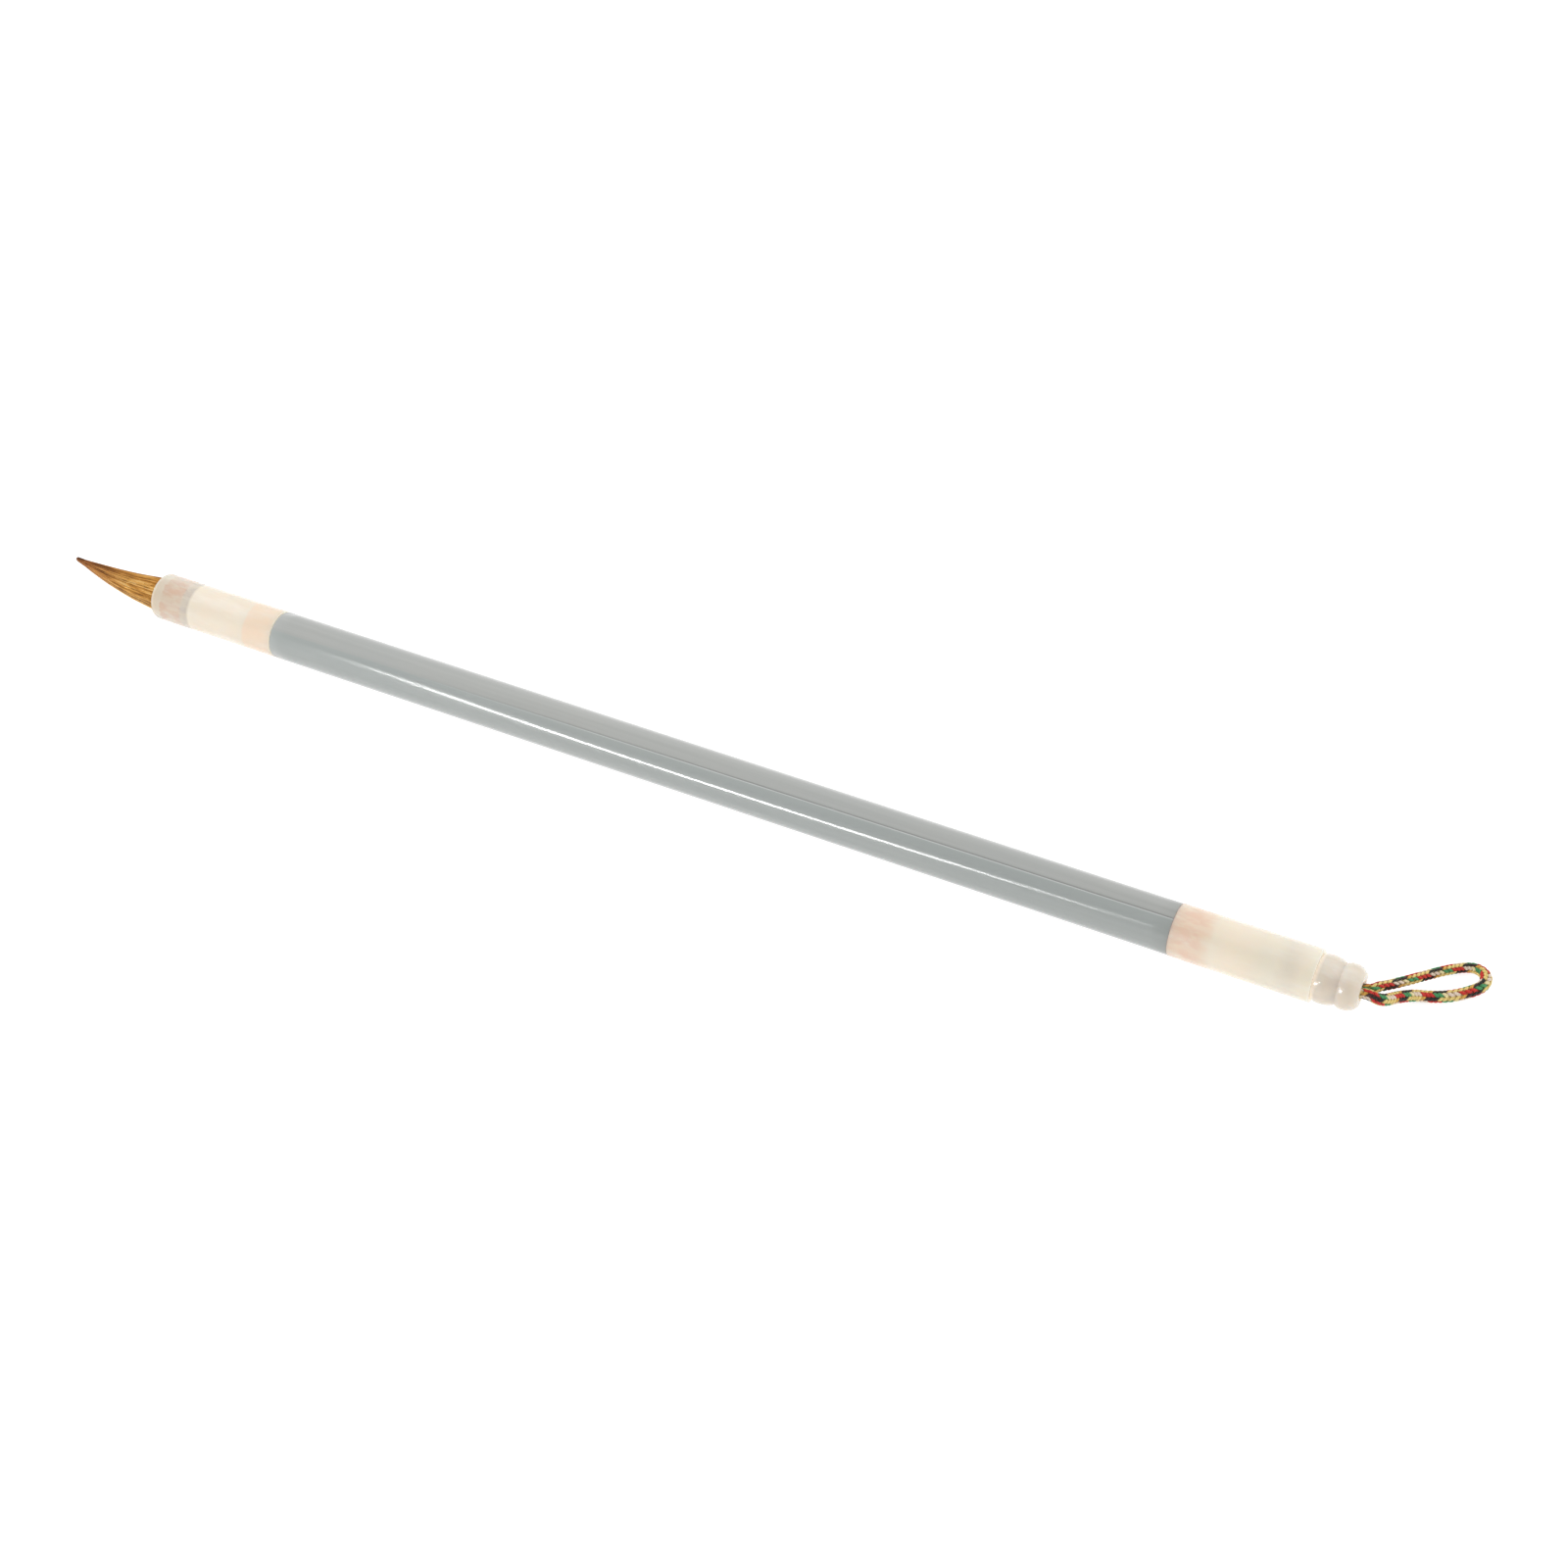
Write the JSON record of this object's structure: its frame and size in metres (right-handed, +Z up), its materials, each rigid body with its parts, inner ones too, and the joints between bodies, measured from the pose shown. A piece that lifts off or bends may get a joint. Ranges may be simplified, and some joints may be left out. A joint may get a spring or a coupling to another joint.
{
  "type": "calligraphy brush",
  "caption": "Slim round calligraphy brush with a pointed hair tuft, milky ferrule, grey lacquered shaft, turned end knob and a braided hanging loop.",
  "frame": {"origin": "on the table, below the middle of the brush from hair tip to end knob, hanging loop left out", "axes": "+X along the brush from the hair tip to the hanging loop, +Z up from the table the brush lies on"},
  "size_m": [0.2802, 0.0229, 0.0092],
  "materials": {
    "bare_wood": "pale fine-grained wood, unfinished",
    "grey_lacquer": "smooth glossy warm grey lacquer with one fine lengthwise seam",
    "milky_resin": "cloudy translucent cream resin, polished",
    "weasel_hair": "sleek straight golden brown hair, darker towards the tip",
    "binding_thread": "thin waxed sewing thread",
    "clear_glue": "set resin glue, slightly grey",
    "braided_cord": "round multicoloured braid in gold, red, green, black and white"
  },
  "bodies": {
    "handle": {"shaft_core": "bare_wood", "shaft_sleeve": "grey_lacquer", "front_ferrule": "milky_resin", "tuft_root": "weasel_hair", "root_binding": "binding_thread", "root_glue": "clear_glue", "rear_socket": "milky_resin", "end_knob": "milky_resin", "loop_knot": "braided_cord", "loop_tails": "braided_cord"},
    "tuft": {"tuft_core": "weasel_hair", "tuft_mantle": "weasel_hair"},
    "loop": {"hanging_loop": "braided_cord"}
  },
  "joints": [
    {"name": "tuft_flex", "type": "hinge", "parent": "handle", "child": "tuft", "pos_m": [-0.11445, 0, 0.00458], "axis": [0, 0, 1], "range_deg": [-40, 40], "stiffness_Nm_per_rad": 0.002},
    {"name": "loop_swing", "type": "hinge", "parent": "handle", "child": "loop", "pos_m": [0.1331, 0, 0.00458], "axis": [0, 0, 1], "range_deg": [-100, 20]}
  ]
}
